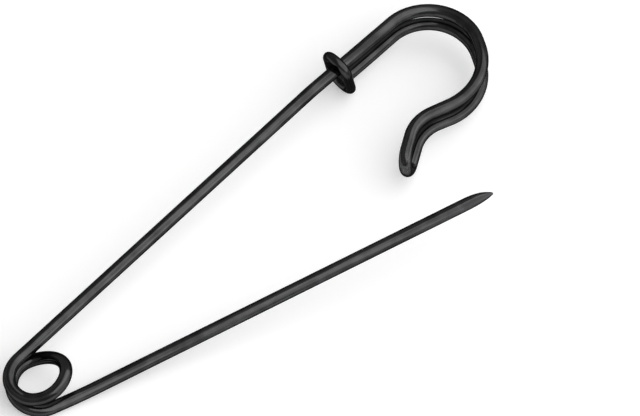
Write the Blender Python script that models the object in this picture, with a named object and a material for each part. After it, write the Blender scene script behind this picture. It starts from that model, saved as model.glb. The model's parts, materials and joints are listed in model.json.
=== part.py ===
"""An all-wire safety pin, open, lying on its side.

One spring wire makes the back stem, the coil, the arm and the doubled head, and a separate oval wire ring holds
the cut end. Metres, +Z up. The origin is the middle of the coil's eye. +X runs along the back stem towards the
head, and the arm opens towards -Y.
"""

from math import asin, atan2, cos, pi, radians, sin, tan

import bpy
from mathutils import Vector

# Wire
WIRE_DIAMETER = 0.0021
SLOT_CLEARANCE = 0.0002

# Coil: an easy start and end to its pitch, a side that swells outwards, and a side that rises above the pitch
COIL_RADIUS = 0.00435
COIL_TURN_GAP = 0.00055
LEAST_TURN_GAP = 0.0004
COIL_POINTS_PER_TURN = 24
COIL_EASE_SHARE = 0.08
COIL_SWELL = 0.00045
COIL_SWELL_PLACE = radians(160.0)
COIL_SWELL_SPAN = radians(70.0)
COIL_RISE = 0.0027
COIL_RISE_PLACE = radians(307.0)
COIL_RISE_SPAN = radians(119.0)

# Head, in the order in which the wire is bent. The lower strand's throat is shorter, so the hook leans outwards
STEM_LENGTH = 0.0664
NECK_RADIUS = 0.0200
NECK_TURN = radians(1.85)
NECK_LENGTH = 0.0182
HEAD_ENTRY_RADIUS = 0.0082
HEAD_ENTRY_TURN = radians(119.2)
HEAD_CROWN_LENGTH = 0.0012
HEAD_RETURN_RADIUS = 0.0096
HEAD_RETURN_TURN = radians(79.5)
THROAT_LENGTH = 0.0031
LOWER_THROAT_LENGTH = 0.00217
THROAT_RADIUS = 0.00677
THROAT_TURN = radians(49.4)
HOOK_LEG_LENGTH = 0.0027
BEND_STEP = radians(7.5)
HAIRPIN_STEP = radians(15.0)

# Collar ring: its top leans back towards the coil, it is a little askew, and it sits outwards on the wires
COLLAR_WIRE_DIAMETER = 0.0016
COLLAR_SEAT_GAP = 0.0003
COLLAR_OUTWARDS = 0.00028
COLLAR_FROM_LOOP = 0.0118
COLLAR_LEAN = radians(11.0)
COLLAR_SKEW = radians(2.0)
CUT_END_PAST_RING = 0.0004
COLLAR_STEP = radians(15.0)

# Arm
OPEN_ANGLE = radians(20.2)
TIP_PAST_HOOK = 0.0090
ARM_ROOT_LENGTH = 0.0030
ARM_FLEX_GAP = 0.0003
HOOK_CLEARANCE = 0.0003
POINT_LENGTH = 0.0068
POINT_TIP_SHARE = 0.12
POINT_SIDE_SHARE = 0.4
POINT_STEPS = 8

# Number of extra facets that a round bar and a coiled bar have round them
BAR_FACETS = 4
COIL_FACETS = 1

BLACKENED_STEEL = (0.028, 0.028, 0.029, 1.0)
BLACKENED_RING = (0.022, 0.022, 0.023, 1.0)
GROUND_POINT = (0.050, 0.050, 0.052, 1.0)
STEEL_METALLIC = 0.85
STEEL_ROUGHNESS = 0.30
POINT_ROUGHNESS = 0.22

WIRE_RADIUS = WIRE_DIAMETER / 2
STRAND_SPACING = 2 * WIRE_DIAMETER + SLOT_CLEARANCE
COLLAR_WIRE_RADIUS = COLLAR_WIRE_DIAMETER / 2
COLLAR_REACH = WIRE_RADIUS + COLLAR_SEAT_GAP + COLLAR_OUTWARDS + COLLAR_WIRE_RADIUS
COLLAR_RADIUS = COLLAR_REACH / (cos(COLLAR_LEAN) * cos(COLLAR_SKEW))
ARM_ROOT_END = WIRE_DIAMETER + ARM_ROOT_LENGTH
ARM_FLEX_PLACE = ARM_ROOT_END + ARM_FLEX_GAP / 2

# Levels: the coil leaves the stem and the upper strand at its top, and the arm's root at its foot
COIL_SWEEP = 3 * pi - OPEN_ANGLE
COIL_HEIGHT = (WIRE_DIAMETER + COIL_TURN_GAP) * COIL_SWEEP / (2 * pi)
UPPER_LEVEL = COIL_HEIGHT / 2
ARM_LEVEL = UPPER_LEVEL - COIL_HEIGHT
LOWER_LEVEL = UPPER_LEVEL - STRAND_SPACING


def clear_scene():
    for old in list(bpy.data.objects):
        bpy.data.objects.remove(old, do_unlink=True)


def steel(name, colour, roughness):
    """A plain metal material of one colour for one piece."""
    material = bpy.data.materials.new(name)
    material.use_nodes = True
    shader = material.node_tree.nodes["Principled BSDF"]
    shader.inputs["Base Color"].default_value = colour
    shader.inputs["Metallic"].default_value = STEEL_METALLIC
    shader.inputs["Roughness"].default_value = roughness
    return material


def bar(name, points, radius, facets, colour=BLACKENED_STEEL, roughness=STEEL_ROUGHNESS, shares=None,
        closed=False, parent=None):
    """A round bar along the points, as a bevelled curve with flat, square ends."""
    curve = bpy.data.curves.new(name, "CURVE")
    curve.dimensions = "3D"
    curve.bevel_depth = radius
    curve.bevel_resolution = facets
    curve.use_fill_caps = not closed
    spline = curve.splines.new("POLY")
    spline.points.add(len(points) - 1)
    spline.use_cyclic_u = closed
    for i, point in enumerate(points):
        spline.points[i].co = (*point, 1.0)
        spline.points[i].radius = shares[i] if shares else 1.0
    curve.materials.append(steel(name + "_finish", colour, roughness))
    piece = bpy.data.objects.new(name, curve)
    bpy.context.scene.collection.objects.link(piece)
    piece.parent = parent
    return piece


def pivot(name, place, parent=None, turn=0.0, lift=0.0):
    """An empty on a joint's axis, with its own X along the bar that it carries."""
    empty = bpy.data.objects.new(name, None)
    bpy.context.scene.collection.objects.link(empty)
    empty.parent = parent
    empty.location = place
    empty.rotation_euler = (0.0, -lift, turn)
    return empty


def walk(place, heading, moves):
    """Points and last heading of a flat path: a move is (length,) or (radius, turn), left turns positive."""
    points = [Vector(place)]
    for move in moves:
        if len(move) == 1:
            points.append(points[-1] + move[0] * Vector((cos(heading), sin(heading))))
            continue
        radius, turn = move
        side = 1 if turn > 0 else -1
        centre = points[-1] + side * radius * Vector((-sin(heading), cos(heading)))
        steps = max(1, round(abs(turn) / BEND_STEP))
        for step in range(1, steps + 1):
            angle = heading - side * pi / 2 + turn * step / steps
            points.append(centre + radius * Vector((cos(angle), sin(angle))))
        heading += turn
    return points, heading


def at_level(points, level):
    return [(x, y, level) for x, y in points]


def neck_path():
    """The flat path from the stem's end, a little inwards, to the loop, and its last heading."""
    moves = [(WIRE_DIAMETER,), (NECK_RADIUS, -NECK_TURN), (NECK_LENGTH,)]
    return walk((STEM_LENGTH, COIL_RADIUS), 0.0, moves)


def loop_path(entry, heading, throat_length):
    """The flat path of one strand from the neck round the loop to the hook, and its last heading."""
    return walk(
        entry,
        heading,
        [
            (HEAD_ENTRY_RADIUS, -HEAD_ENTRY_TURN),
            (HEAD_CROWN_LENGTH,),
            (HEAD_RETURN_RADIUS, -HEAD_RETURN_TURN),
            (throat_length,),
            (THROAT_RADIUS, THROAT_TURN),
            (HOOK_LEG_LENGTH / 2,),
        ],
    )


def eased(share):
    """A share of an even slope that starts and ends level."""
    ease = COIL_EASE_SHARE
    if share < ease:
        return share ** 2 / (2 * ease * (1 - ease))
    if share > 1 - ease:
        return 1 - (1 - share) ** 2 / (2 * ease * (1 - ease))
    return (share - ease / 2) / (1 - ease)


def hump(angle, place, span):
    """A smooth hump of height 1 at its place, which has died away at its span to either side."""
    return (1 + cos(pi * min(1.0, abs(angle - place) / span))) / 2


def coil_path():
    """The coil's centre line, with a straight lead one wire diameter long at each end."""
    steps = round(COIL_POINTS_PER_TURN * COIL_SWEEP / (2 * pi))
    points = [(WIRE_DIAMETER, COIL_RADIUS, UPPER_LEVEL)]
    for step in range(steps + 1):
        angle = pi / 2 + COIL_SWEEP * step / steps
        reach = COIL_RADIUS + COIL_SWELL * hump(angle, COIL_SWELL_PLACE, COIL_SWELL_SPAN)
        rise = COIL_RISE * hump(angle, COIL_RISE_PLACE, COIL_RISE_SPAN)
        level = UPPER_LEVEL - COIL_HEIGHT * eased(step / steps) + rise
        points.append((reach * cos(angle), reach * sin(angle), level))
    lead = WIRE_DIAMETER * Vector((cos(OPEN_ANGLE), -sin(OPEN_ANGLE), 0.0))
    points.append(tuple(Vector(points[-1]) + lead))
    return points


def least_turn_gap(points):
    """Least clear space between the coil and its own next turn, measured between points on the centre line."""
    places = [Vector(p) for p in points]
    apart = COIL_POINTS_PER_TURN // 2
    nearest = min((b - a).length for i, a in enumerate(places) for b in places[i + apart:])
    return nearest - WIRE_DIAMETER


def hook_apex(path, heading):
    """The far end of the hairpin's centre line, seen from above."""
    return path[-1] + (HOOK_LEG_LENGTH / 2 + STRAND_SPACING / 2) * Vector((cos(heading), sin(heading)))


def arm_lift(apex):
    """The angle at which the free arm rises from its root, so that it swings over the hook with a clearance."""
    rise = UPPER_LEVEL + WIRE_DIAMETER + HOOK_CLEARANCE - ARM_LEVEL
    run = apex.length - WIRE_DIAMETER - ARM_ROOT_END
    return atan2(rise, run)


def closing_swing(apex):
    """The swing from open at which the arm lies behind the hook with a clearance."""
    offset = COIL_RADIUS + WIRE_DIAMETER + HOOK_CLEARANCE
    closed_angle = atan2(-apex.y, apex.x) - asin(offset / apex.length)
    return OPEN_ANGLE - closed_angle


def make_back_stem():
    ends = at_level([(WIRE_DIAMETER, COIL_RADIUS), (STEM_LENGTH, COIL_RADIUS)], UPPER_LEVEL)
    bar("back_stem", ends, WIRE_RADIUS, BAR_FACETS)


def make_coil():
    points = coil_path()
    gap = least_turn_gap(points)
    print(f"coil_spring: least gap between turns {gap:.6f} m, limit {LEAST_TURN_GAP} m")
    bar("coil_spring", points, WIRE_RADIUS, COIL_FACETS)


def make_guard(neck, upper, lower, way):
    """The doubled head: upper strand, hairpin hook, and lower strand back to its cut end inside the ring."""
    bar("guard_upper_strand", at_level(neck[:-1] + upper, UPPER_LEVEL), WIRE_RADIUS, BAR_FACETS)
    ring_crossing = COLLAR_FROM_LOOP - STRAND_SPACING / 2 * tan(COLLAR_LEAN)
    cut_end = neck[-1] - (ring_crossing + CUT_END_PAST_RING) * Vector((cos(NECK_TURN), -sin(NECK_TURN)))
    bar("guard_lower_strand", at_level([cut_end, *lower], LOWER_LEVEL), WIRE_RADIUS, BAR_FACETS)

    leg = HOOK_LEG_LENGTH / 2 * Vector((*way, 0.0))
    top = Vector((*upper[-1], UPPER_LEVEL))
    foot = Vector((*lower[-1], LOWER_LEVEL))
    middle = (top + foot) / 2 + leg
    side = (top - foot) / 2
    points = [top]
    steps = round(pi / HAIRPIN_STEP)
    for step in range(steps + 1):
        angle = pi / 2 - pi * step / steps
        points.append(middle + side.length * cos(angle) * Vector((*way, 0.0)) + sin(angle) * side)
    points.append(foot)
    bar("hook_bend", points, WIRE_RADIUS, BAR_FACETS)


def make_collar(entry):
    """An oval ring round both wires. The middles of its bows stay level with the wires however far it leans."""
    steps = round(pi / COLLAR_STEP)
    half_height = STRAND_SPACING / (2 * cos(COLLAR_LEAN))
    points = []
    for centre, first in ((half_height, 0.0), (-half_height, pi)):
        for step in range(steps + 1):
            angle = first + pi * step / steps
            points.append((0.0, COLLAR_RADIUS * cos(angle), centre + COLLAR_RADIUS * sin(angle)))
    ring = bar("collar_ring", points, COLLAR_WIRE_RADIUS, BAR_FACETS, BLACKENED_RING, closed=True)
    seat = entry - COLLAR_FROM_LOOP * Vector((cos(NECK_TURN), -sin(NECK_TURN)))
    seat += COLLAR_OUTWARDS * Vector((sin(NECK_TURN), cos(NECK_TURN)))
    ring.location = (*seat, (UPPER_LEVEL + LOWER_LEVEL) / 2)
    ring.rotation_mode = "ZYX"
    ring.rotation_euler = (0.0, -COLLAR_LEAN, -COLLAR_SKEW - NECK_TURN)


def make_arm(apex):
    """The arm's root turns about the coil's axis, and the arm itself flexes sideways at the root's end."""
    swing = pivot("arm_swing_pivot", (0.0, 0.0, ARM_LEVEL), turn=-OPEN_ANGLE)
    root = [(WIRE_DIAMETER, -COIL_RADIUS, 0.0), (ARM_ROOT_END, -COIL_RADIUS, 0.0)]
    bar("arm_root", root, WIRE_RADIUS, BAR_FACETS, parent=swing)

    flex = pivot("arm_side_pivot", (ARM_FLEX_PLACE, -COIL_RADIUS, 0.0), swing, lift=arm_lift(apex))
    tip = apex.length + TIP_PAST_HOOK - ARM_FLEX_PLACE
    shoulder = tip - POINT_LENGTH
    shaft = [(ARM_FLEX_GAP / 2, 0.0, 0.0), (shoulder, 0.0, 0.0)]
    bar("pin_arm", shaft, WIRE_RADIUS, BAR_FACETS, parent=flex)

    shares = [1.0 - (1.0 - POINT_TIP_SHARE) * (step / POINT_STEPS) ** 2 for step in range(POINT_STEPS + 1)]
    points = []
    for step, share in enumerate(shares):
        aside = POINT_SIDE_SHARE * WIRE_RADIUS * (1.0 - share)
        points.append((shoulder + POINT_LENGTH * step / POINT_STEPS, -aside, 0.0))
    bar("pin_point", points, WIRE_RADIUS, BAR_FACETS, GROUND_POINT, POINT_ROUGHNESS, shares, parent=flex)


def main():
    clear_scene()
    neck, neck_heading = neck_path()
    upper, heading = loop_path(neck[-1], neck_heading, THROAT_LENGTH)
    lower, _ = loop_path(neck[-1], neck_heading, LOWER_THROAT_LENGTH)
    way = Vector((cos(heading), sin(heading)))
    # The lower leg is the longer one by just so much that both legs end level with each other
    lower[-1] += (upper[-1] - lower[-1]).dot(way) * way
    apex = hook_apex(upper, heading)
    make_back_stem()
    make_coil()
    make_guard(neck, upper, lower, way)
    make_collar(neck[-1])
    make_arm(apex)
    print(f"the arm lies behind the hook at {closing_swing(apex):.4f} rad of swing")


main()
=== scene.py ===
"""A black-finished, all-wire safety pin, open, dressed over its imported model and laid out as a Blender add-on.

The wire is fed and bent a step at a time, as a wire bender makes it, so every ring of its skin knows its place on
the straight wire. The finishes read that place, and their drawn lines follow every bend. Metres, +Z up.
"""

import json
from math import atan, atan2, ceil, copysign, cos, pi, radians, sin, tan

import bmesh
import bpy
from bpy.props import FloatProperty, FloatVectorProperty, IntProperty, PointerProperty
from mathutils import Matrix, Vector


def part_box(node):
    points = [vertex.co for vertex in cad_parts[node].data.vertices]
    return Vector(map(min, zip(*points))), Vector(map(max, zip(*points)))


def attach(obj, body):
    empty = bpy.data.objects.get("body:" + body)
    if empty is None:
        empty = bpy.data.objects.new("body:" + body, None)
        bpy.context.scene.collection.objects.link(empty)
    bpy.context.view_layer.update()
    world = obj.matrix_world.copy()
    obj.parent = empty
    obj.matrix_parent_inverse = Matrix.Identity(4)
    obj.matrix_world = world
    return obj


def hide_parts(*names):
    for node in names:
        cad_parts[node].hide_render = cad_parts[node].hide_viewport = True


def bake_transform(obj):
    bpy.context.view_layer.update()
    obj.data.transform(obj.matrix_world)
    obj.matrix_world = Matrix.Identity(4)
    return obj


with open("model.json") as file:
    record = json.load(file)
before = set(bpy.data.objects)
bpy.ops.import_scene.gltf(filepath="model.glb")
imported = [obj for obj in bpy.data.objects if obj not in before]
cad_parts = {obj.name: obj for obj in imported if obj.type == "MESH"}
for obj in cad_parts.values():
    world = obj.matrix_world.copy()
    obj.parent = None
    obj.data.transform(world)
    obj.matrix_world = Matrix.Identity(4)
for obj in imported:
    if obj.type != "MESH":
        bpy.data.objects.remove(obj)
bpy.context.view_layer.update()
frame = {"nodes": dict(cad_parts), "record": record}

bl_info = {
    "name": "Wire Safety Pin",
    "version": (1, 0, 0),
    "blender": (4, 5, 0),
    "location": "View3D > Sidebar > Safety Pin",
    "description": "Bends a black wire safety pin piece by piece and lays it out under soft studio light",
    "category": "Add Mesh",
}

UP = Vector((0.0, 0.0, 1.0))
UNBENT = "unbent"
RUBBED = "rubbed"


def node_middle(node):
    low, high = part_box(node)
    return (Vector(low) + Vector(high)) / 2


def bar_end(node, far):
    """The middle of the near or far end of a straight bar that runs roughly along +X."""
    spots = {tuple(round(value, 7) for value in vert.co) for vert in frame["nodes"][node].data.vertices}
    edge = max(spots)[0] if far else min(spots)[0]
    rim = [Vector(spot) for spot in spots if abs(spot[0] - edge) < STEM_WIRE / 2]
    return sum(rim, Vector()) / len(rim)


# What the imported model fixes: the wire, its levels, the coil, the side pivot and the arm's own line
STEM_LOW, STEM_HIGH = (Vector(corner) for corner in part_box("back_stem"))
STEM_WIRE = STEM_HIGH.z - STEM_LOW.z
STEM_LINE = node_middle("back_stem")
LOWER_LINE = node_middle("guard_lower_strand")
JOINTS = {joint["name"]: joint for joint in frame["record"]["behaviour"]["joints"]}
SIDE_PIVOT = Vector(JOINTS["arm_side_flex"]["pos_m"])
SIDE_AXIS = Vector(JOINTS["arm_side_flex"]["axis"])
OPEN_ANGLE = atan2(SIDE_AXIS.x, SIDE_AXIS.y)
ARM_SHOULDER = bar_end("pin_arm", far=True)
ARM_START = bar_end("pin_arm", far=False)
ARM_WAY = (ARM_SHOULDER - ARM_START).normalized()
ROOT_WAY = Vector((cos(OPEN_ANGLE), -sin(OPEN_ANGLE), 0.0))
COLLAR_MIDDLE = node_middle("collar_ring")
FORWARD = Vector((1.0, 0.0, 0.0))
STEM_START = Vector((STEM_LOW.x, STEM_LINE.y, STEM_LINE.z))

# How finely the straight lengths and the point are divided
LONG_STEPS = 60
MIDDLE_STEPS = 20
SHORT_STEPS = 10
LEAD_STEPS = 8
LEG_STEPS = 4
POINT_STEPS = 48
EDGE_ROUNDS = 4
SHARP_EDGE = radians(40.0)

# The crown's place in the loop's first bend
CROWN_SHARE = 0.42

# Scales of the wire's noises, and how far drawing has stretched the lines along the wire
LINE_SCALE = 6500.0
STREAK_SCALE = 2300.0
BLOTCH_SCALE = 420.0
PIT_SCALE = 9000.0
DRAWN_OUT = 0.02

# The finish: its darkest and lightest shade, and the parts that lines and blotches have in it
DARKEST = 0.62
LIGHTEST = 1.38
LINE_PART = 0.35
BLOTCH_PART = 0.3
LINE_DEPTH = 0.000005
PIT_DEPTH = 0.000003

# The picture: what it is aimed at, the camera's sensor, what lifts the floor to white, and how often the two
# places where the pin rests on the floor are looked for
VIEW_TARGET = Vector((0.05334, -0.01165, 0.0018))
SENSOR = 36.0
FLOOR_LIFT = 0.34
FOOT_ROUNDS = 5


class SafetyPinWire(bpy.types.PropertyGroup):
    """The wire and the coil at its spring end."""

    diameter: FloatProperty(
        name="Wire diameter", description="Thickness of the spring wire", default=STEM_WIRE, min=0.0005,
        unit="LENGTH", precision=5,
    )
    sides: IntProperty(
        name="Sides", description="Facets round the wire's skin", default=56, min=12, max=128,
    )
    ring_step: FloatProperty(
        name="Ring step", description="Length of wire between two rings of the skin in a bend", default=0.00022,
        min=0.00005, unit="LENGTH", precision=5,
    )
    coil_radius: FloatProperty(
        name="Coil radius", description="Radius of the coil's centre line", default=STEM_LINE.y, min=0.002,
        unit="LENGTH", precision=5,
    )
    coil_ease: FloatProperty(
        name="Coil ease", description="Share of the coil at each end over which its pitch starts and stops",
        default=0.08, min=0.01, max=0.5, subtype="FACTOR",
    )
    coil_swell: FloatProperty(
        name="Coil swell", description="How far the first pass is wound wider than the second one",
        default=0.00045, min=0.0, unit="LENGTH", precision=5,
    )
    coil_swell_place: FloatProperty(
        name="Swell place", description="Where round the coil the swell is widest", default=radians(160.0),
        unit="ROTATION",
    )
    coil_swell_span: FloatProperty(
        name="Swell span", description="How far the swell reaches to either side", default=radians(70.0),
        unit="ROTATION",
    )
    coil_rise: FloatProperty(
        name="Coil rise", description="How far the coil's outer side stands above an even helix", default=0.0027,
        unit="LENGTH", precision=5,
    )
    coil_rise_place: FloatProperty(
        name="Rise place", description="Where round the coil the rise is highest", default=radians(307.0),
        unit="ROTATION",
    )
    coil_rise_span: FloatProperty(
        name="Rise span", description="How far the rise reaches to either side", default=radians(119.0),
        unit="ROTATION",
    )


class SafetyPinHead(bpy.types.PropertyGroup):
    """The doubled head, in the order in which the wire is bent."""

    neck_radius: FloatProperty(
        name="Neck radius", description="Slight inward bend where the stem ends", default=0.0200, unit="LENGTH",
        precision=5,
    )
    neck_turn: FloatProperty(
        name="Neck turn", description="Turn of the slight inward bend", default=radians(1.85), unit="ROTATION",
    )
    neck_length: FloatProperty(
        name="Neck length", description="Straight length from that bend to the loop", default=0.0182,
        unit="LENGTH", precision=5,
    )
    entry_radius: FloatProperty(
        name="Entry radius", description="First bend of the loop", default=0.0082, unit="LENGTH", precision=5,
    )
    entry_turn: FloatProperty(
        name="Entry turn", description="Turn of the first bend", default=radians(119.2), unit="ROTATION",
    )
    crown: FloatProperty(
        name="Crown", description="Straight length between the loop's two bends", default=0.0012, unit="LENGTH",
        precision=5,
    )
    return_radius: FloatProperty(
        name="Return radius", description="Second bend of the loop", default=0.0096, unit="LENGTH", precision=5,
    )
    return_turn: FloatProperty(
        name="Return turn", description="Turn of the second bend", default=radians(79.5), unit="ROTATION",
    )
    throat: FloatProperty(
        name="Throat", description="Straight length from the loop to the hook's bend", default=0.0031,
        unit="LENGTH", precision=5,
    )
    lower_throat: FloatProperty(
        name="Lower throat", description="The lower strand's shorter throat, which makes the hook lean",
        default=0.00217, unit="LENGTH", precision=5,
    )
    throat_radius: FloatProperty(
        name="Throat radius", description="Bend that turns the wire down into the hook", default=0.00677,
        unit="LENGTH", precision=5,
    )
    throat_turn: FloatProperty(
        name="Throat turn", description="Turn of the throat's bend", default=radians(49.4), unit="ROTATION",
    )
    hook_leg: FloatProperty(
        name="Hook leg", description="Straight length of the hook's upper leg", default=0.0027, unit="LENGTH",
        precision=5,
    )
    pinch: FloatProperty(
        name="Pinch", description="How far each strand is pressed towards the other one at the loop's crown",
        default=0.00027, min=0.0, unit="LENGTH", precision=5,
    )
    pinch_reach: FloatProperty(
        name="Pinch reach", description="How far from the crown the strands are pressed together",
        default=0.0130, unit="LENGTH", precision=5,
    )
    throat_pinch: FloatProperty(
        name="Throat pinch", description="The same press at the throat", default=0.00020, min=0.0,
        unit="LENGTH", precision=5,
    )
    throat_pinch_reach: FloatProperty(
        name="Throat pinch reach", description="How far from the throat the strands are pressed together",
        default=0.0070, unit="LENGTH", precision=5,
    )
    cut_past_ring: FloatProperty(
        name="Cut end", description="How far the cut end reaches past the middle of the ring's wire",
        default=0.0004, unit="LENGTH", precision=5,
    )
    burr: FloatProperty(
        name="Cut edge", description="Round of the edge of the cut end", default=0.00012, unit="LENGTH",
        precision=5,
    )


class SafetyPinCollar(bpy.types.PropertyGroup):
    """The oval ring that ties the two strands together."""

    diameter: FloatProperty(
        name="Ring wire", description="Thickness of the ring's wire", default=0.0016, min=0.0004, unit="LENGTH",
        precision=5,
    )
    seat: FloatProperty(
        name="Seat", description="Clearance between the ring and the strands that it ties", default=0.00006,
        min=0.0, unit="LENGTH", precision=5,
    )
    outwards: FloatProperty(
        name="Outwards", description="How far the ring sits outwards on the strands", default=0.00028,
        unit="LENGTH", precision=5,
    )
    lean: FloatProperty(
        name="Lean", description="Tilt of the ring's top towards the coil", default=radians(11.0),
        unit="ROTATION",
    )
    skew: FloatProperty(
        name="Skew", description="Turn of the ring about its own height", default=radians(2.0), unit="ROTATION",
    )
    butt: FloatProperty(
        name="Butt joint", description="Gap between the ring's two cut ends", default=0.00003, min=0.0,
        unit="LENGTH", precision=5,
    )
    burr: FloatProperty(
        name="Cut edge", description="Round of the edges of the ring's cut ends", default=0.00008,
        unit="LENGTH", precision=5,
    )


class SafetyPinStage(bpy.types.PropertyGroup):
    """The camera, the lamps and the floor."""

    azimuth: FloatProperty(
        name="Azimuth", description="Camera's turn round the pin", default=radians(-47.612), unit="ROTATION",
    )
    elevation: FloatProperty(
        name="Elevation", description="Camera's height above the floor's plane", default=radians(57.0),
        unit="ROTATION",
    )
    distance: FloatProperty(
        name="Distance", description="Camera's distance from the pin", default=2.5, unit="LENGTH",
    )
    frame_width: FloatProperty(
        name="Frame width", description="Width of the picture at the pin", default=0.10206, unit="LENGTH",
        precision=5,
    )
    floor_half: FloatProperty(
        name="Floor", description="Half the width of the floor", default=6.0, unit="LENGTH",
    )
    lamp_azimuth: FloatProperty(
        name="Lamp azimuth", description="Turn of the soft lamp round the pin", default=radians(28.4),
        unit="ROTATION",
    )
    lamp_elevation: FloatProperty(
        name="Lamp elevation", description="Height of the soft lamp above the floor's plane",
        default=radians(48.0), unit="ROTATION",
    )
    lamp_distance: FloatProperty(
        name="Lamp distance", description="Distance of the lamps", default=1.0, unit="LENGTH",
    )
    lamp_size: FloatProperty(
        name="Lamp size", description="Width and depth of the soft lamp", default=2.05, unit="LENGTH",
    )
    lamp_power: FloatProperty(
        name="Lamp power", description="Power of the soft lamp", default=19.2, unit="POWER",
    )
    strip_azimuth: FloatProperty(
        name="Strip azimuth", description="Turn of the narrow lamp round the pin", default=radians(42.0),
        unit="ROTATION",
    )
    strip_elevation: FloatProperty(
        name="Strip elevation", description="Height of the narrow lamp", default=radians(18.0), unit="ROTATION",
    )
    strip_width: FloatProperty(
        name="Strip width", description="Width of the narrow lamp", default=1.5, unit="LENGTH",
    )
    strip_height: FloatProperty(
        name="Strip height", description="Height of the narrow lamp", default=0.14, unit="LENGTH",
    )
    strip_power: FloatProperty(
        name="Strip power", description="Power of the narrow lamp", default=0.5, unit="POWER",
    )
    ambient: FloatProperty(
        name="Ambient", description="Level of the light from all round", default=0.30, min=0.0,
    )


class SafetyPinArm(bpy.types.PropertyGroup):
    """The arm, from its root at the coil to the ground point."""

    root_end: FloatProperty(
        name="Root end", description="Distance from the coil at which the arm proper begins", default=0.0140,
        unit="LENGTH", precision=5,
    )
    root_bend: FloatProperty(
        name="Root bend", description="Length of wire over which the arm bends up from its root", default=0.0060,
        unit="LENGTH", precision=5,
    )
    point_length: FloatProperty(
        name="Point length", description="Length of the ground point", default=0.0062, unit="LENGTH",
        precision=5,
    )
    tip_share: FloatProperty(
        name="Tip", description="Radius of the tip as a share of the wire's radius", default=0.15, min=0.01,
        max=1.0, subtype="FACTOR",
    )
    fullness: FloatProperty(
        name="Fullness", description="How late the point begins to narrow", default=3.5, min=1.0, max=4.0,
    )
    side_share: FloatProperty(
        name="One-sided grind", description="How much more is ground off the inner side, as a share",
        default=0.4, min=0.0, max=1.0, subtype="FACTOR",
    )


class SafetyPinFinish(bpy.types.PropertyGroup):
    """Colours of the finish and of the stage."""

    black: FloatVectorProperty(
        name="Black", description="The wire's black finish", subtype="COLOR", size=3, min=0.0, max=1.0,
        default=(0.053, 0.053, 0.054),
    )
    ring_black: FloatVectorProperty(
        name="Ring black", description="The collar ring's black finish", subtype="COLOR", size=3, min=0.0,
        max=1.0, default=(0.052, 0.052, 0.053),
    )
    point_black: FloatVectorProperty(
        name="Point black", description="The blackened, ground point", subtype="COLOR", size=3, min=0.0,
        max=1.0, default=(0.066, 0.066, 0.068),
    )
    bare: FloatVectorProperty(
        name="Rubbed steel", description="Steel that shows where the black is rubbed through", subtype="COLOR",
        size=3, min=0.0, max=1.0, default=(0.20, 0.20, 0.205),
    )
    floor: FloatVectorProperty(
        name="Floor", description="The pale floor under the pin", subtype="COLOR", size=3, min=0.0, max=1.0,
        default=(0.80, 0.80, 0.80),
    )


PROPERTY_GROUPS = {
    "safetypin_wire": SafetyPinWire,
    "safetypin_head": SafetyPinHead,
    "safetypin_collar": SafetyPinCollar,
    "safetypin_arm": SafetyPinArm,
    "safetypin_finish": SafetyPinFinish,
    "safetypin_stage": SafetyPinStage,
}


def square_to(place, way):
    """The stand of a ring that lies square to a way that isn't upright: its own X is level, its Z is the way."""
    across = way.cross(UP).normalized()
    stand = Matrix((across, way.cross(across), way)).transposed().to_4x4()
    stand.translation = place
    return stand


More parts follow.
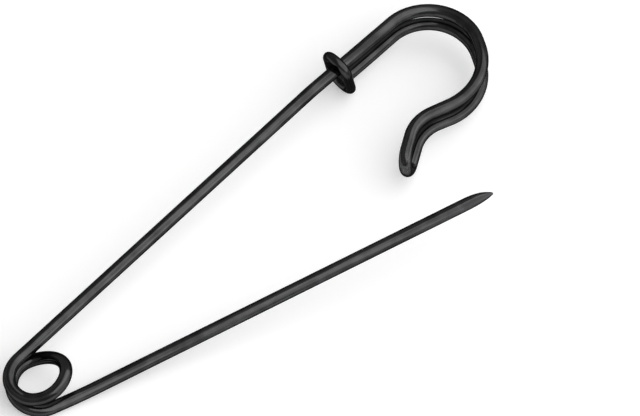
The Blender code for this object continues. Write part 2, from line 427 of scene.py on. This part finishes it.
class WireBender:
    """A round wire that starts as one ring and grows as it is fed, bent, wound or ground.

    The stand places the ring. A sense of -1 lets the wire grow from the back of its first ring.
    """

    def __init__(self, stand, radius, along=0.0, sense=1, rub=None):
        settings = bpy.context.scene.safetypin_wire
        self.step = settings.ring_step
        self.stand = stand.copy()
        self.along = along
        self.sense = sense
        self.rub = rub or (lambda place: 0.0)
        self.mesh = bmesh.new()
        self.unbent = self.mesh.verts.layers.float_vector.new(UNBENT)
        self.rubbed = self.mesh.verts.layers.float.new(RUBBED)
        made = bmesh.ops.create_circle(self.mesh, cap_ends=False, radius=radius, segments=settings.sides)
        for vert in made["verts"]:
            vert[self.unbent] = (vert.co.x, vert.co.y, along)
            vert[self.rubbed] = self.rub(self.place)
        bmesh.ops.transform(self.mesh, matrix=self.stand, verts=made["verts"])
        self.ring = list(self.mesh.edges)
        self.first = list(self.mesh.edges)

    @property
    def place(self):
        return self.stand.translation.copy()

    @property
    def way(self):
        return self.stand.to_3x3().col[2] * self.sense

    def grow(self, move, length):
        """Extrudes the last ring and places the new one."""
        made = bmesh.ops.extrude_edge_only(self.mesh, edges=self.ring)["geom"]
        verts = [item for item in made if isinstance(item, bmesh.types.BMVert)]
        fresh = set(verts)
        self.ring = [
            item for item in made if isinstance(item, bmesh.types.BMEdge) and fresh.issuperset(item.verts)
        ]
        bmesh.ops.transform(self.mesh, matrix=move, verts=verts)
        self.stand = move @ self.stand
        self.along += length * self.sense
        rub = self.rub(self.place)
        for vert in verts:
            at = vert[self.unbent]
            vert[self.unbent] = (at[0], at[1], self.along)
            vert[self.rubbed] = rub

    def feed(self, length, steps=1):
        """A straight length."""
        for _ in range(steps):
            self.grow(Matrix.Translation(self.way * length / steps), length / steps)

    def bend(self, radius, turn, axis=UP):
        """An arc about an axis. A positive turn is to the left, seen with the axis pointing at the eye."""
        centre = self.place + copysign(radius, turn) * axis.cross(self.way)
        steps = ceil(radius * abs(turn) / self.step)
        turn_once = Matrix.Rotation(turn / steps, 4, axis)
        move = Matrix.Translation(centre) @ turn_once @ Matrix.Translation(-centre)
        for _ in range(steps):
            self.grow(move, radius * abs(turn) / steps)

    def run(self, moves):
        """Feeds each (length,) and bends each (radius, turn) in order."""
        for move in moves:
            if len(move) == 1:
                self.feed(*move)
            else:
                self.bend(*move)

    def follow(self, places, ways):
        """Rings set square to a route that neither a feed nor a bend makes, such as the skewed coil."""
        for place, way in zip(places, ways):
            after = square_to(place, way * self.sense)
            self.grow(after @ self.stand.inverted(), (place - self.place).length)

    def grind(self, length, scale, aside):
        """One step of a point: the ring is fed, made smaller and moved aside."""
        centre = Matrix.Translation(self.place)
        shrink = centre @ Matrix.Scale(scale, 4) @ centre.inverted()
        self.grow(Matrix.Translation(self.way * length + aside) @ shrink, length)
        self.stand = self.stand @ Matrix.Scale(1 / scale, 4)

    def press(self, spot, reach, shift):
        """Pushes the wire aside round a spot, most at the spot and not at all beyond its reach."""
        for vert in self.mesh.verts:
            vert.co += shift * hump((vert.co - spot).length, 0.0, reach)

    def close(self, edges, round_off):
        """A flat end on a ring, with its edge rounded where the wire is really cut."""
        cap = bmesh.ops.contextual_create(self.mesh, geom=edges)["faces"]
        if round_off:
            bmesh.ops.bevel(
                self.mesh, geom=list(cap[0].edges), offset=round_off, offset_type="OFFSET", affect="EDGES",
                segments=EDGE_ROUNDS, profile=0.5, material=-1,
            )

    def finish(self, name, material, slot, nodes, start_round=0.0, end_round=0.0):
        """Caps and smooths the wire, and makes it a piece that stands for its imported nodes."""
        self.close(self.first, start_round)
        self.close(self.ring, end_round)
        bmesh.ops.recalc_face_normals(self.mesh, faces=self.mesh.faces)
        data = bpy.data.meshes.new(name)
        self.mesh.to_mesh(data)
        self.mesh.free()
        data.shade_smooth()
        data.set_sharp_from_angle(angle=SHARP_EDGE)
        data.materials.append(material)
        piece = bpy.data.objects.new(name, data)
        bpy.context.scene.collection.objects.link(piece)
        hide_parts(*nodes)
        return piece


def hump(angle, place, span):
    """A smooth hump of height 1 at its place, which has died away at its span to either side."""
    return (1 + cos(pi * min(1.0, abs(angle - place) / span))) / 2


def eased(share, ease):
    """A share of an even slope that starts and ends level."""
    if share < ease:
        return share ** 2 / (2 * ease * (1 - ease))
    if share > 1 - ease:
        return 1 - (1 - share) ** 2 / (2 * ease * (1 - ease))
    return (share - ease / 2) / (1 - ease)


def link(tree, source, output, target, socket):
    tree.links.new(source.outputs[output], target.inputs[socket])


def node(tree, kind, place, **settings):
    made = tree.nodes.new(kind)
    made.location = place
    for key, value in settings.items():
        setattr(made, key, value)
    return made


def noise(tree, place, source, scale, detail):
    """A noise on the vector that a node gives."""
    made = node(tree, "ShaderNodeTexNoise", place)
    made.inputs["Scale"].default_value = scale
    made.inputs["Detail"].default_value = detail
    link(tree, source, "Vector", made, "Vector")
    return made


def scaled(tree, place, value, factor, added=None):
    """A node's value times a number, with another node's value added where there is one."""
    made = node(tree, "ShaderNodeMath", place, operation="MULTIPLY_ADD" if added else "MULTIPLY")
    made.inputs[1].default_value = factor
    link(tree, *value, made, 0)
    if added:
        link(tree, *added, made, 2)
    return made


def ramp(tree, place, low, high, low_value, high_value):
    """Map Range from a noise to the value that it drives."""
    made = node(tree, "ShaderNodeMapRange", place)
    made.inputs["From Min"].default_value = low
    made.inputs["From Max"].default_value = high
    made.inputs["To Min"].default_value = low_value
    made.inputs["To Max"].default_value = high_value
    return made


def bump(tree, place, height, strength, depth):
    """A relief from a noise."""
    made = node(tree, "ShaderNodeBump", place)
    made.inputs["Strength"].default_value = strength
    made.inputs["Distance"].default_value = depth
    link(tree, height, "Fac", made, "Height")
    return made


def wire_finish(name, black, bare, roughness, drawn):
    """A black finish on drawn wire: lines along the wire, soft blotches, fine pits and rubbed places."""
    material = bpy.data.materials.get(name)
    if material:
        return material
    material = bpy.data.materials.new(name)
    material.use_nodes = True
    tree = material.node_tree
    shader = tree.nodes["Principled BSDF"]
    shader.inputs["Metallic"].default_value = 0.95
    shader.inputs["Specular Tint"].default_value = (0.0, 0.0, 0.0, 1.0)
    place = node(tree, "ShaderNodeAttribute", (-1400, 0), attribute_name=UNBENT)

    stretch = node(tree, "ShaderNodeMapping", (-1200, 200))
    stretch.inputs["Scale"].default_value = (1.0, 1.0, DRAWN_OUT)
    link(tree, place, "Vector", stretch, "Vector")
    lines = noise(tree, (-1000, 200), stretch, LINE_SCALE, 4.0)
    streaks = noise(tree, (-1000, 450), stretch, STREAK_SCALE, 1.0)
    blotch = noise(tree, (-1000, -100), place, BLOTCH_SCALE, 3.0)
    pits = noise(tree, (-1000, -400), place, PIT_SCALE, 2.0)

    rub = node(tree, "ShaderNodeAttribute", (-1000, -650), attribute_name=RUBBED)
    worn = node(tree, "ShaderNodeMath", (-750, -600), operation="MULTIPLY")
    speckle = ramp(tree, (-950, -800), 0.45, 0.75, 0.0, 1.0)
    link(tree, pits, "Fac", speckle, "Value")
    link(tree, rub, "Fac", worn, 0)
    link(tree, speckle, "Result", worn, 1)

    tint = node(tree, "ShaderNodeMix", (-500, 200), data_type="RGBA")
    tint.inputs["A"].default_value = (*(value * DARKEST for value in black), 1.0)
    tint.inputs["B"].default_value = (*(value * LIGHTEST for value in black), 1.0)
    drawn_lines = node(tree, "ShaderNodeMath", (-850, 350), operation="ADD")
    link(tree, lines, "Fac", drawn_lines, 0)
    link(tree, streaks, "Fac", drawn_lines, 1)
    shade = scaled(tree, (-850, 60), (blotch, "Fac"), BLOTCH_PART)
    grain = scaled(tree, (-700, 300), (drawn_lines, "Value"), LINE_PART, (shade, "Value"))
    contrast = ramp(tree, (-600, 60), 0.42, 0.58, 0.0, 1.0)
    link(tree, grain, "Value", contrast, "Value")
    link(tree, contrast, "Result", tint, "Factor")
    colour = node(tree, "ShaderNodeMix", (-250, 200), data_type="RGBA")
    colour.inputs["B"].default_value = (*bare, 1.0)
    link(tree, worn, "Value", colour, "Factor")
    link(tree, tint, "Result", colour, "A")
    link(tree, colour, "Result", shader, "Base Color")

    rough_lines = ramp(tree, (-500, -50), 0.3, 0.7, roughness - 0.05, roughness + 0.06)
    link(tree, lines, "Fac", rough_lines, "Value")
    rough_blotch = ramp(tree, (-500, -300), 0.3, 0.7, -0.03, 0.03)
    link(tree, blotch, "Fac", rough_blotch, "Value")
    rough = node(tree, "ShaderNodeMath", (-250, -100), operation="ADD")
    link(tree, rough_lines, "Result", rough, 0)
    link(tree, rough_blotch, "Result", rough, 1)
    link(tree, rough, "Value", shader, "Roughness")

    draw_bump = bump(tree, (-250, -350), lines, drawn, LINE_DEPTH)
    pit_bump = bump(tree, (-50, -350), pits, drawn / 2, PIT_DEPTH)
    link(tree, draw_bump, "Normal", pit_bump, "Normal")
    link(tree, pit_bump, "Normal", shader, "Normal")
    return material


def black_wire():
    finish = bpy.context.scene.safetypin_finish
    return wire_finish("blackened_spring_wire", finish.black, finish.bare, 0.15, 0.5)


def black_ring():
    finish = bpy.context.scene.safetypin_finish
    return wire_finish("blackened_ring_wire", finish.ring_black, finish.bare, 0.17, 0.6)


def black_point():
    finish = bpy.context.scene.safetypin_finish
    return wire_finish("blackened_ground_point", finish.point_black, finish.bare, 0.20, 0.9)


def rub_near(*spots):
    """How much the finish is rubbed at a place: 1 at a (spot, reach) and nothing beyond its reach."""
    return lambda place: max(0.0, *(1.0 - (place - spot).length / reach for spot, reach in spots))


def loop_moves(throat, leg):
    """One strand's feeds and bends, from the neck round the loop and down the throat into the hook's leg."""
    head = bpy.context.scene.safetypin_head
    return [
        (head.entry_radius, -head.entry_turn * CROWN_SHARE),
        (head.entry_radius, -head.entry_turn * (1 - CROWN_SHARE)),
        (head.crown,),
        (head.return_radius, -head.return_turn),
        (throat,),
        (head.throat_radius, head.throat_turn),
        (leg,),
    ]


def backwards(moves):
    """The same moves for a wire that runs the other way."""
    return [move if len(move) == 1 else (move[0], -move[1]) for move in reversed(moves)]


def coil_route():
    """Places and ways of the coil's centre line, from the stem down to the arm's root, and its length."""
    wire = bpy.context.scene.safetypin_wire
    sweep = 3 * pi - OPEN_ANGLE
    height = STEM_LINE.z - SIDE_PIVOT.z
    steps = ceil(sweep * wire.coil_radius / wire.ring_step)
    places = []
    for step in range(steps + 1):
        share = step / steps
        angle = pi / 2 + sweep * share
        reach = wire.coil_radius + wire.coil_swell * hump(angle, wire.coil_swell_place, wire.coil_swell_span)
        rise = wire.coil_rise * hump(angle, wire.coil_rise_place, wire.coil_rise_span)
        level = STEM_LINE.z - height * eased(share, wire.coil_ease) + rise
        places.append(Vector((reach * cos(angle), reach * sin(angle), level)))
    ways = [(after - before).normalized() for before, after in zip(places[:-2], places[2:])]
    ways = [Vector((-1.0, 0.0, 0.0)), *ways, ROOT_WAY]
    length = sum((after - before).length for before, after in zip(places[:-1], places[1:]))
    return places, ways, length


class SAFETYPIN_OT_back_stem(bpy.types.Operator):
    """Feed the straight back stem"""

    bl_idname = "safetypin.back_stem"
    bl_label = "Back Stem"

    def execute(self, context):
        wire = context.scene.safetypin_wire
        stem = WireBender(square_to(STEM_START, FORWARD), wire.diameter / 2, STEM_LOW.x)
        stem.feed(STEM_HIGH.x - STEM_LOW.x, LONG_STEPS)
        piece = stem.finish("back_stem_wire", black_wire(), "blackened_wire", ["back_stem"])
        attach(piece, "wire_frame")
        return {"FINISHED"}


class SAFETYPIN_OT_coil(bpy.types.Operator):
    """Wind the spring coil from the stem down to the arm's root"""

    bl_idname = "safetypin.coil"
    bl_label = "Coil"

    def execute(self, context):
        wire = context.scene.safetypin_wire
        places, ways, _ = coil_route()
        coil = WireBender(square_to(STEM_START, FORWARD), wire.diameter / 2, STEM_LOW.x, -1)
        coil.feed(STEM_LOW.x, LEAD_STEPS)
        coil.follow(places[1:], ways[1:])
        coil.feed(STEM_LOW.x, LEAD_STEPS)
        piece = coil.finish("coil_spring_wire", black_wire(), "blackened_wire", ["coil_spring"])
        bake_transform(piece)
        return {"FINISHED"}


class SAFETYPIN_OT_head(bpy.types.Operator):
    """Bend the doubled head: upper strand, hairpin hook and lower strand"""

    bl_idname = "safetypin.head"
    bl_label = "Doubled Head"

    def execute(self, context):
        wire = context.scene.safetypin_wire
        head = context.scene.safetypin_head
        collar = context.scene.safetypin_collar
        radius = wire.diameter / 2
        drop = STEM_LINE.z - LOWER_LINE.z

        start = Vector((STEM_HIGH.x, STEM_LINE.y, STEM_LINE.z))
        at_ring = rub_near((COLLAR_MIDDLE, drop))
        upper = WireBender(square_to(start, FORWARD), radius, STEM_HIGH.x, rub=at_ring)
        upper.run([(wire.diameter,), (head.neck_radius, -head.neck_turn), (head.neck_length,)])
        loop = loop_moves(head.throat, head.hook_leg / 2)
        upper.run(loop[:1])
        crown = upper.place
        upper.run(loop[1:5])
        throat = upper.place
        upper.run(loop[5:])
        upper.press(crown, head.pinch_reach, -UP * head.pinch)
        upper.press(throat, head.throat_pinch_reach, -UP * head.throat_pinch)
        upper_piece = upper.finish("upper_strand_wire", black_wire(), "blackened_wire", ["guard_upper_strand"])

        # The lower throat is shorter, so the lower leg lies to the left of the upper one and is longer
        shorter = head.throat - head.lower_throat
        bight = upper.place + upper.way * drop - UP * drop / 2
        hook = WireBender(upper.stand, radius, upper.along, rub=rub_near((bight, drop)))
        across = UP.cross(hook.way) * shorter * sin(head.throat_turn) - UP * drop
        hook.feed(head.hook_leg / 2, LEG_STEPS)
        hook.bend(across.length / 2, pi, hook.way.cross(across).normalized())
        hook.feed(head.hook_leg / 2, LEG_STEPS)
        hook_piece = hook.finish("hook_bend_wire", black_wire(), "blackened_wire", ["hook_bend"])

        lower = WireBender(hook.stand, radius, hook.along, rub=at_ring)
        lower_leg = head.hook_leg / 2 + shorter * cos(head.throat_turn)
        lower.run(backwards(loop_moves(head.lower_throat, lower_leg)))
        to_ring = (COLLAR_MIDDLE - lower.place).dot(lower.way) - drop / 2 * tan(collar.lean)
        lower.feed(to_ring + head.cut_past_ring, MIDDLE_STEPS)
        lower.press(crown - UP * drop, head.pinch_reach, UP * head.pinch)
        lower.press(throat - UP * drop, head.throat_pinch_reach, UP * head.throat_pinch)
        lower_piece = lower.finish(
            "lower_strand_wire", black_wire(), "blackened_wire", ["guard_lower_strand"], end_round=head.burr,
        )
        for piece in (upper_piece, hook_piece, lower_piece):
            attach(piece, "wire_frame")
        return {"FINISHED"}


class SAFETYPIN_OT_collar(bpy.types.Operator):
    """Bend the oval collar ring round both strands, its cut ends butted on the back"""

    bl_idname = "safetypin.collar"
    bl_label = "Collar Ring"

    def execute(self, context):
        wire = context.scene.safetypin_wire
        collar = context.scene.safetypin_collar
        snug = cos(collar.lean) * cos(collar.skew)
        bow = (wire.diameter / 2 + collar.seat + collar.outwards + collar.diameter / 2) / snug
        side = (STEM_LINE.z - LOWER_LINE.z) / cos(collar.lean)
        turn = collar.skew + context.scene.safetypin_head.neck_turn
        seat = Matrix.Translation(COLLAR_MIDDLE)
        seat = seat @ Matrix.Rotation(-collar.lean, 4, "Y") @ Matrix.Rotation(-turn, 4, "Z")
        axis = seat.to_3x3().col[0]
        stand = seat @ Matrix.Translation((0.0, bow, collar.butt / 2))
        ring = WireBender(stand, collar.diameter / 2)
        ring.feed((side - collar.butt) / 2, SHORT_STEPS)
        ring.bend(bow, pi, axis)
        ring.feed(side, MIDDLE_STEPS)
        ring.bend(bow, pi, axis)
        ring.feed((side - collar.butt) / 2, SHORT_STEPS)
        piece = ring.finish(
            "collar_ring_wire", black_ring(), "blackened_ring", ["collar_ring"], collar.burr, collar.burr,
        )
        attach(piece, "wire_frame")
        return {"FINISHED"}


class SAFETYPIN_OT_arm(bpy.types.Operator):
    """Feed the arm's root, the arm and its ground point"""

    bl_idname = "safetypin.arm"
    bl_label = "Arm"

    def execute(self, context):
        wire = context.scene.safetypin_wire
        arm = context.scene.safetypin_arm
        radius = wire.diameter / 2
        places, _, coil_length = coil_route()
        rise = ROOT_WAY.angle(ARM_WAY)
        tangent = arm.root_bend / rise * tan(rise / 2)
        start = places[-1] + ROOT_WAY * STEM_LOW.x
        root = WireBender(square_to(start, -ROOT_WAY), radius, -coil_length - STEM_LOW.x, -1)
        root.feed((SIDE_PIVOT - start).length - tangent, LEG_STEPS)
        root.bend(arm.root_bend / rise, rise, ROOT_WAY.cross(UP))
        root.feed(arm.root_end - tangent, SHORT_STEPS)
        root_piece = root.finish("arm_root_wire", black_wire(), "blackened_wire", ["arm_root"])
        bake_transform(root_piece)

        shaft = WireBender(root.stand, radius, root.along, -1)
        shaft.feed((ARM_SHOULDER - root.place).length, LONG_STEPS)
        shaft_piece = shaft.finish("pin_arm_wire", black_wire(), "blackened_wire", ["pin_arm"])
        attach(shaft_piece, "arm")

        point = WireBender(shaft.stand, radius, shaft.along, -1)
        along = [step / POINT_STEPS for step in range(POINT_STEPS + 1)]
        shares = [1 - (1 - arm.tip_share) * share ** arm.fullness for share in along]
        for before, after in zip(shares[:-1], shares[1:]):
            aside = -SIDE_AXIS * arm.side_share * radius * (before - after)
            point.grind(arm.point_length / POINT_STEPS, after / before, aside)
        point_piece = point.finish(
            "pin_point_ground", black_point(), "ground_point", ["pin_point"], end_round=radius * arm.tip_share / 2,
        )
        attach(point_piece, "arm")
        return {"FINISHED"}


def floor_finish(colour):
    """Pale matt paper. What the eye and the wire's gloss see of it is lifted to white."""
    material = bpy.data.materials.new("pale_floor")
    material.use_nodes = True
    tree = material.node_tree
    shader = tree.nodes["Principled BSDF"]
    shader.inputs["Base Color"].default_value = (*colour, 1.0)
    shader.inputs["Roughness"].default_value = 0.9
    shader.inputs["Specular IOR Level"].default_value = 0.2
    rays = node(tree, "ShaderNodeLightPath", (-700, 0))
    seen = node(tree, "ShaderNodeMath", (-500, 0), operation="MAXIMUM")
    link(tree, rays, "Is Camera Ray", seen, 0)
    link(tree, rays, "Is Glossy Ray", seen, 1)
    clear = node(tree, "ShaderNodeMath", (-300, 0), operation="MAXIMUM")
    link(tree, seen, "Value", clear, 0)
    link(tree, rays, "Is Transmission Ray", clear, 1)
    lift = scaled(tree, (-100, -200), (clear, "Value"), FLOOR_LIFT)
    shader.inputs["Emission Color"].default_value = (1.0, 1.0, 1.0, 1.0)
    link(tree, lift, "Value", shader, "Emission Strength")
    return material


def floor_stand():
    """Where the floor lies: it falls slightly towards the head, so that both the coil and the ring rest on it."""
    wires = [bpy.data.objects[name].data.vertices for name in ("coil_spring_wire", "collar_ring_wire")]
    fall = 0.0
    for _ in range(FOOT_ROUNDS):
        coil, ring = (min((vert.co for vert in wire), key=lambda spot: spot.z + fall * spot.x) for wire in wires)
        fall = (coil.z - ring.z) / (ring.x - coil.x)
    return Matrix.Translation(ring) @ Matrix.Rotation(atan(fall), 4, "Y")


def way_from(azimuth, elevation):
    """The way from the pin to what stands round it."""
    return Matrix.Rotation(azimuth, 3, "Z") @ Vector((0.0, -cos(elevation), sin(elevation)))


def soft_lamp(name, offset, width, height, power):
    """A broad rectangular lamp, aimed at the pin, that the camera doesn't see."""
    light = bpy.data.lights.new(name, "AREA")
    light.shape = "RECTANGLE"
    light.size = width
    light.size_y = height
    light.energy = power
    lamp = bpy.data.objects.new(name, light)
    bpy.context.scene.collection.objects.link(lamp)
    lamp.location = VIEW_TARGET + offset
    lamp.rotation_mode = "QUATERNION"
    lamp.rotation_quaternion = (-offset).to_track_quat("-Z", "Y")
    lamp.visible_camera = False
    return lamp


class SAFETYPIN_OT_stage(bpy.types.Operator):
    """Lay the pin on a pale floor under soft studio light"""

    bl_idname = "safetypin.stage"
    bl_label = "Stage"

    def execute(self, context):
        finish = context.scene.safetypin_finish
        stage = context.scene.safetypin_stage
        mesh = bmesh.new()
        bmesh.ops.create_grid(mesh, x_segments=1, y_segments=1, size=stage.floor_half)
        bmesh.ops.transform(mesh, matrix=floor_stand(), verts=mesh.verts)
        data = bpy.data.meshes.new("floor")
        mesh.to_mesh(data)
        mesh.free()
        data.materials.append(floor_finish(finish.floor))
        floor = bpy.data.objects.new("floor", data)
        context.scene.collection.objects.link(floor)

        back = way_from(stage.azimuth, stage.elevation)
        lens = bpy.data.cameras.new("camera")
        lens.sensor_width = SENSOR
        lens.lens = SENSOR * stage.distance / stage.frame_width
        lens.clip_end = 2 * stage.distance
        camera = bpy.data.objects.new("camera", lens)
        context.scene.collection.objects.link(camera)
        camera.location = VIEW_TARGET + back * stage.distance
        camera.rotation_mode = "QUATERNION"
        camera.rotation_quaternion = (-back).to_track_quat("-Z", "Y")
        context.scene.camera = camera

        above = way_from(stage.lamp_azimuth, stage.lamp_elevation) * stage.lamp_distance
        aside = way_from(stage.strip_azimuth, stage.strip_elevation) * stage.lamp_distance
        soft_lamp("overhead", above, stage.lamp_size, stage.lamp_size, stage.lamp_power)
        soft_lamp("edge_strip", aside, stage.strip_width, stage.strip_height, stage.strip_power)

        world = bpy.data.worlds.new("studio")
        context.scene.world = world
        world.use_nodes = True
        tree = world.node_tree
        background = tree.nodes["Background"]
        background.inputs["Color"].default_value = (1.0, 1.0, 1.0, 1.0)
        background.inputs["Strength"].default_value = stage.ambient
        context.scene.view_settings.view_transform = "Standard"
        return {"FINISHED"}


class SAFETYPIN_PT_panel(bpy.types.Panel):
    """Settings and steps of the safety pin"""

    bl_idname = "SAFETYPIN_PT_panel"
    bl_label = "Safety Pin"
    bl_space_type = "VIEW_3D"
    bl_region_type = "UI"
    bl_category = "Safety Pin"

    def draw(self, context):
        for group in PROPERTY_GROUPS:
            box = self.layout.box()
            settings = getattr(context.scene, group)
            for key in settings.__annotations__:
                box.prop(settings, key)
        for step in STEPS:
            self.layout.operator(step.bl_idname)


STEPS = (
    SAFETYPIN_OT_back_stem,
    SAFETYPIN_OT_coil,
    SAFETYPIN_OT_head,
    SAFETYPIN_OT_collar,
    SAFETYPIN_OT_arm,
    SAFETYPIN_OT_stage,
)


def register():
    for group in PROPERTY_GROUPS.values():
        bpy.utils.register_class(group)
    for name, group in PROPERTY_GROUPS.items():
        setattr(bpy.types.Scene, name, PointerProperty(type=group))
    for step in STEPS:
        bpy.utils.register_class(step)
    bpy.utils.register_class(SAFETYPIN_PT_panel)


def unregister():
    bpy.utils.unregister_class(SAFETYPIN_PT_panel)
    for step in reversed(STEPS):
        bpy.utils.unregister_class(step)
    for name in PROPERTY_GROUPS:
        delattr(bpy.types.Scene, name)
    for group in reversed(PROPERTY_GROUPS.values()):
        bpy.utils.unregister_class(group)


def main():
    register()
    bpy.ops.safetypin.back_stem()
    bpy.ops.safetypin.coil()
    bpy.ops.safetypin.head()
    bpy.ops.safetypin.collar()
    bpy.ops.safetypin.arm()
    bpy.ops.safetypin.stage()


if __name__ == "__main__":
    main()
